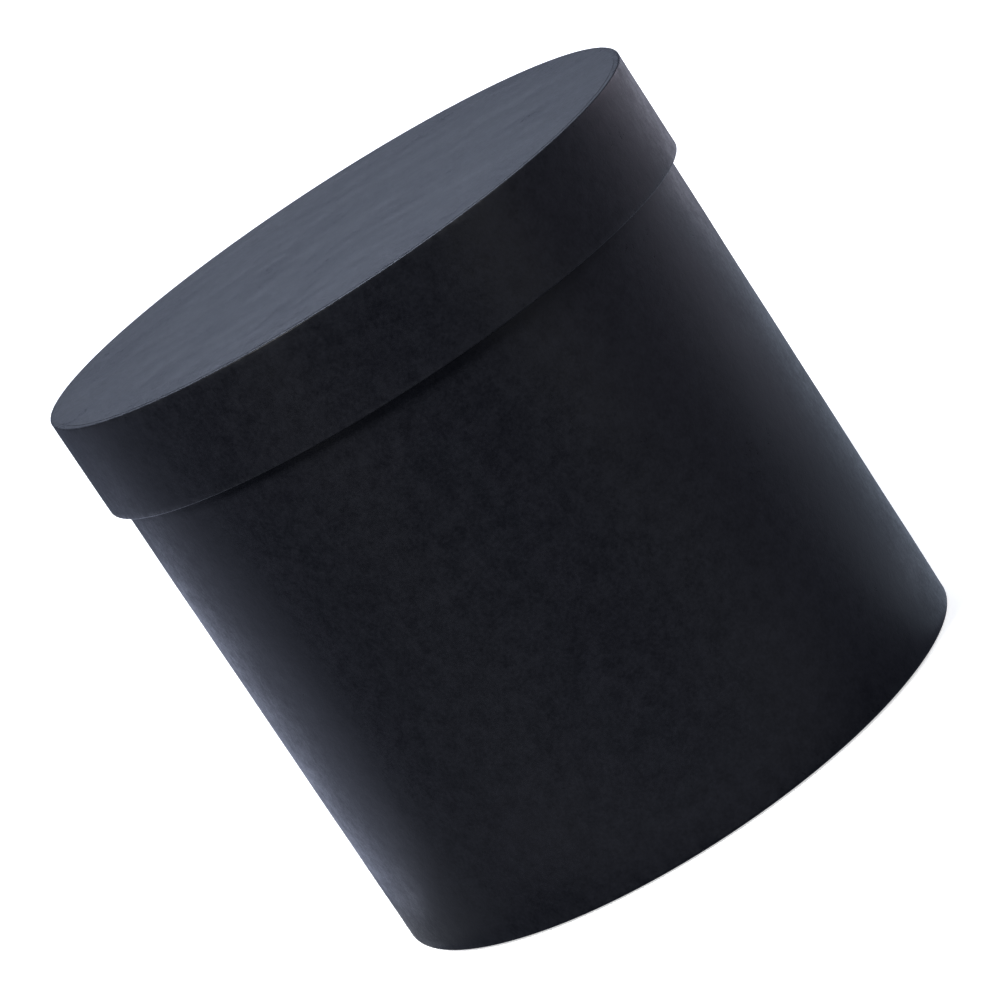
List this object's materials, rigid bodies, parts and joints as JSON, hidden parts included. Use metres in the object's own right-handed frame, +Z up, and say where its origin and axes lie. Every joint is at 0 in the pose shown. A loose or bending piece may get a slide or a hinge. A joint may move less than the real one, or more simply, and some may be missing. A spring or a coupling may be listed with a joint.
{
  "type": "round flower box",
  "caption": "Round rigid board box with a lift-off lid, covered in matte black paper, for flowers or keepsakes.",
  "frame": {"origin": "middle of the underside, on the surface that the box stands on", "axes": "+Z up along the box's axis through base and lid; -Y towards the front that the picture shows, +X to its right"},
  "size_m": [0.2076, 0.2076, 0.2],
  "materials": {
    "black_paper": "matte",
    "lining_paper": "matte",
    "greyboard": "matte"
  },
  "bodies": {
    "box": {"body_board_tube": "greyboard", "base_board_disc": "greyboard", "body_wrap_paper": "black_paper", "body_lining_paper": "lining_paper", "base_outer_paper": "black_paper", "base_inner_paper": "lining_paper"},
    "lid": {"lid_board_band": "greyboard", "lid_board_disc": "greyboard", "lid_wrap_paper": "black_paper", "lid_lining_paper": "lining_paper", "lid_top_paper": "black_paper", "lid_inner_paper": "lining_paper"}
  },
  "joints": [
    {"name": "lid_lift", "type": "slide", "parent": "box", "child": "lid", "axis": [0, 0, 1], "range_m": [0, 0.25]}
  ]
}
